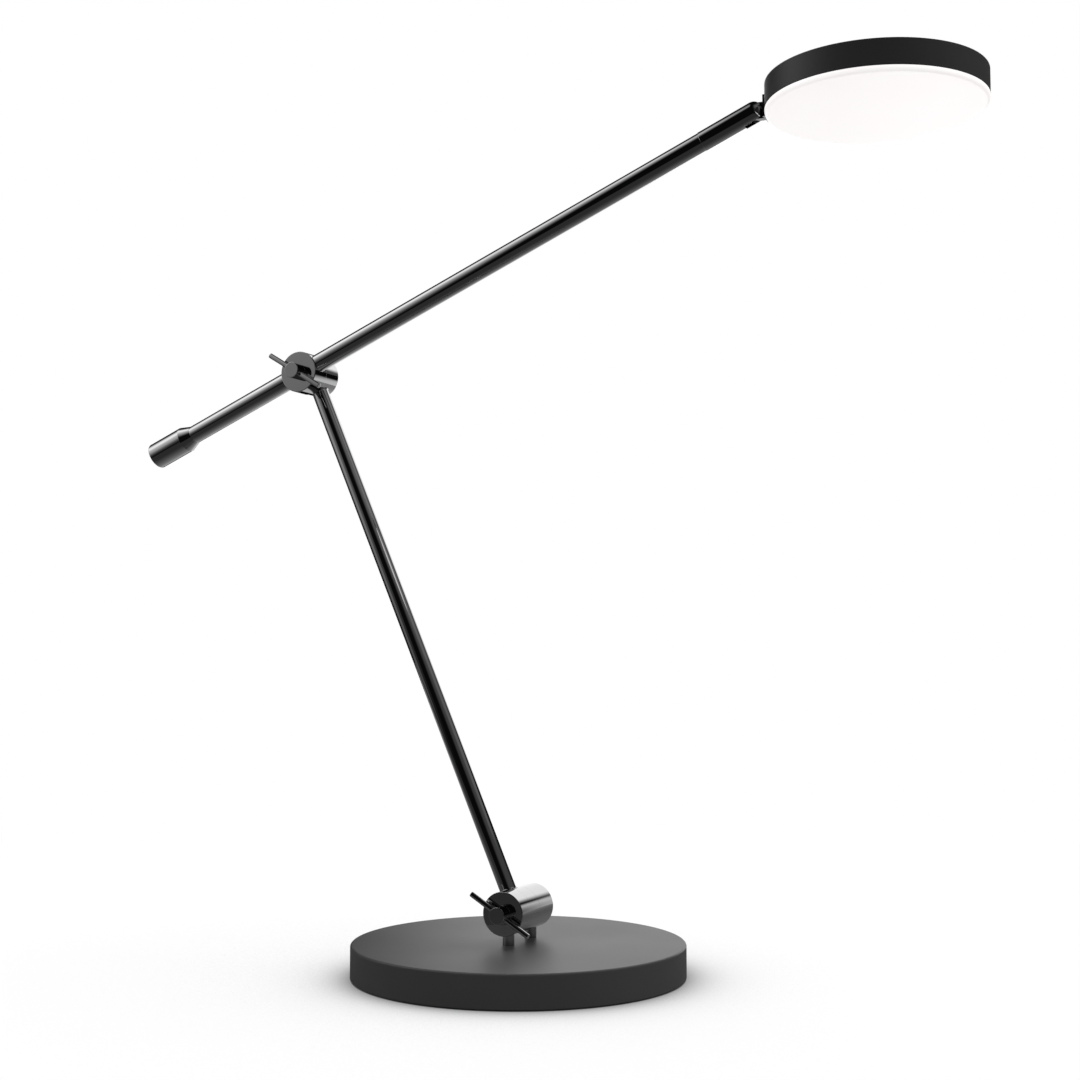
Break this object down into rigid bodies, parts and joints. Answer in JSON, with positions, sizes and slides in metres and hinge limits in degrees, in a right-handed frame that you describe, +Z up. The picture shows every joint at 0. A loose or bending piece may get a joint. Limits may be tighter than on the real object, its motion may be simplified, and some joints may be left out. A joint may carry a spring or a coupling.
{
  "type": "counterweight balance desk lamp",
  "caption": "Desk lamp with a round weighted foot, two tubular arms on clamp joints, a rear counterweight and a flat round LED head.",
  "frame": {"origin": "centre of the foot pad's flat underside, where the lamp rests on the desk", "axes": "+Z up; +X horizontally along the arms' plane, towards the light head; the clamp screws are on the -Y side"},
  "size_m": [0.5536, 0.2, 0.5074],
  "materials": {
    "foot_paint": "satin powder coat",
    "cast_ballast": "as cast",
    "zinc_steel": "zinc plated",
    "foot_rubber": "matte",
    "black_chrome": "polished black chrome",
    "head_paint": "fine matte powder coat",
    "opal": "opal acrylic, satin",
    "board_green": "solder mask",
    "board_white": "white solder mask on aluminium",
    "spreader_aluminium": "mill finish",
    "led_phosphor": "phosphor",
    "component_black": "matte",
    "adhesive_tape": "foam tape",
    "cable_sheath": "matte PVC",
    "washer_fibre": "vulcanised fibre"
  },
  "bodies": {
    "base": {"base_cover": "foot_paint", "base_weight": "cast_ballast", "base_plate": "zinc_steel", "base_plate_screws": "zinc_steel", "foot_pad": "foot_rubber", "driver_tape": "adhesive_tape", "driver_board": "board_green", "driver_parts": "component_black", "power_socket": "component_black", "base_lead": "cable_sheath", "front_post": "black_chrome", "rear_post": "black_chrome", "post_washers": "zinc_steel", "post_nuts": "zinc_steel", "front_knuckle": "black_chrome", "rear_knuckle": "black_chrome", "foot_joint_washers": "washer_fibre"},
    "foot_clamp": {"foot_clamp_screw": "black_chrome", "foot_clamp_bar": "black_chrome"},
    "lower_arm": {"middle_knuckle": "black_chrome", "lower_tube": "black_chrome", "lower_plug_of_lower_tube": "zinc_steel", "upper_plug_of_lower_tube": "zinc_steel", "lower_arm_cable": "cable_sheath", "elbow_rear_section": "black_chrome", "elbow_washer": "washer_fibre"},
    "elbow_clamp_handle": {"elbow_clamp_screw": "black_chrome", "elbow_clamp_bar": "black_chrome"},
    "upper_arm": {"elbow_clamp": "black_chrome", "upper_tube": "black_chrome", "counterweight": "black_chrome", "head_fork": "black_chrome", "upper_arm_cable": "cable_sheath", "head_pivot_screw": "black_chrome", "head_pivot_spacers": "washer_fibre"},
    "head": {"head_bracket": "black_chrome", "bracket_screws": "zinc_steel", "head_housing": "head_paint", "heat_spreader": "spreader_aluminium", "led_board": "board_white", "led_board_screws": "zinc_steel", "led_chips": "led_phosphor", "diffuser": "opal"}
  },
  "joints": [
    {"name": "foot_tilt", "type": "hinge", "parent": "base", "child": "lower_arm", "pos_m": [0, 0, 0.039], "axis": [0, -1, 0], "range_deg": [-30, 40]},
    {"name": "foot_clamp_turn", "type": "hinge", "parent": "base", "child": "foot_clamp", "pos_m": [0, 0, 0.039], "axis": [0, -1, 0], "range_deg": [-20, 80]},
    {"name": "elbow_tilt", "type": "hinge", "parent": "lower_arm", "child": "upper_arm", "pos_m": [-0.14673, 0, 0.37168], "axis": [0, -1, 0], "range_deg": [-40, 50]},
    {"name": "elbow_clamp_turn", "type": "hinge", "parent": "lower_arm", "child": "elbow_clamp_handle", "pos_m": [-0.14673, 0, 0.37168], "axis": [0, -1, 0], "range_deg": [-20, 160]},
    {"name": "head_tilt", "type": "hinge", "parent": "upper_arm", "child": "head", "pos_m": [0.1562, -0.01528, 0.49875], "axis": [0, -1, 0], "range_deg": [-60, 60]}
  ]
}
